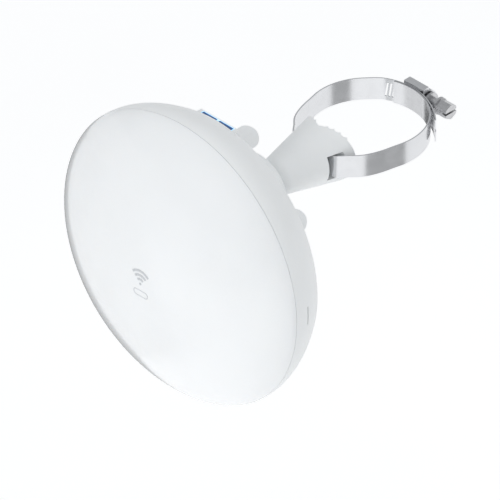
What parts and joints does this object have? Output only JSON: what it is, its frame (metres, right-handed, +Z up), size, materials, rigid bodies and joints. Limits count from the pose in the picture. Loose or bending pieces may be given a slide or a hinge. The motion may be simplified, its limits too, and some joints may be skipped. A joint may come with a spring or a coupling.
{
  "type": "outdoor wireless bridge",
  "caption": "Small round dish radio on a lockable ball joint, with an arm that a worm-drive band clamps to a pole.",
  "frame": {"origin": "on the pole's axis, at the middle of the clamp band's width", "axes": "+Z up along the pole, the dish looks along -Y, +X to the right for someone in front of the dish who looks along +Y"},
  "size_m": [0.1582, 0.1982, 0.1582],
  "materials": {
    "radome_white": "smooth glossy",
    "shell_white": "fine satin",
    "arm_white": "fine satin",
    "seal_rubber": "soft",
    "sheet_aluminium": "satin",
    "feed_brass": "turned",
    "feed_plastic": "plain",
    "circuit_board": "solder mask",
    "tinned_steel": "tinned",
    "small_screws": "zinc",
    "black_plastic": "moulded",
    "light_guide": "pale, lit",
    "window_blue": "dark blue, clear",
    "vent_grey": "porous",
    "liner_grey": "slippery",
    "stainless_band": "rolled bright",
    "zinc_screw": "zinc plated"
  },
  "bodies": {
    "pole_mount": {"pole_arm": "arm_white", "clamp_band": "stainless_band", "clamp_housing": "stainless_band"},
    "clamp_worm": {"worm_screw": "zinc_screw"},
    "pan_liner": {"ball_liner_front": "liner_grey"},
    "tilt_liner": {"ball_liner_rear": "liner_grey"},
    "dish_head": {"radome": "radome_white", "radome_seal": "seal_rubber", "rear_shell": "shell_white", "reflector": "sheet_aluminium", "feed_tube": "feed_brass", "feed_support": "feed_plastic", "subreflector": "sheet_aluminium", "main_board": "circuit_board", "board_screws": "small_screws", "radio_shield": "tinned_steel", "processor_shield": "tinned_steel", "ethernet_magnetics": "black_plastic", "heat_spreader": "sheet_aluminium", "ethernet_jack": "black_plastic", "reset_switch": "black_plastic", "led_board": "circuit_board", "light_guide": "light_guide", "light_windows": "window_blue", "vent_plug": "vent_grey", "ground_screw": "small_screws", "reflector_screws": "small_screws", "case_clips": "tinned_steel", "port_gasket": "seal_rubber", "port_housing": "shell_white"},
    "thrust_washer": {"thrust_washer": "liner_grey"},
    "lock_ring": {"lock_ring": "arm_white"},
    "port_cover": {"port_cover": "shell_white", "cable_grommet": "seal_rubber"},
    "reset_button": {"reset_button": "shell_white"}
  },
  "joints": [
    {"name": "worm_turn", "type": "hinge", "parent": "pole_mount", "child": "clamp_worm", "pos_m": [0, 0.0361, 0], "axis": [1, 0, 0], "continuous": true},
    {"name": "dish_pan", "type": "hinge", "parent": "pole_mount", "child": "pan_liner", "pos_m": [0, -0.0803, 0], "axis": [0, 0, 1], "range_deg": [-15, 15]},
    {"name": "dish_tilt", "type": "hinge", "parent": "pan_liner", "child": "tilt_liner", "pos_m": [0, -0.0803, 0], "axis": [1, 0, 0], "range_deg": [-15, 15]},
    {"name": "dish_roll", "type": "hinge", "parent": "tilt_liner", "child": "dish_head", "pos_m": [0, -0.0803, 0], "axis": [0, 1, 0], "range_deg": [-90, 90]},
    {"name": "washer_slide", "type": "slide", "parent": "dish_head", "child": "thrust_washer", "axis": [0, 1, 0], "range_m": [0, 0.001]},
    {"name": "lock_turn", "type": "hinge", "parent": "thrust_washer", "child": "lock_ring", "pos_m": [0, -0.0803, 0], "axis": [0, 1, 0], "range_deg": [0, 180]},
    {"name": "cover_slide", "type": "slide", "parent": "dish_head", "child": "port_cover", "axis": [0, 0, -1], "range_m": [0, 0.02]},
    {"name": "button_press", "type": "slide", "parent": "dish_head", "child": "reset_button", "axis": [0, -1, 0], "range_m": [0, 0.0008], "stiffness_N_per_m": 400, "springref_m": -0.0005}
  ],
  "couplings": [
    {"joint": "washer_slide", "follows": "lock_turn", "m_per_rad": 0.00031831}
  ]
}
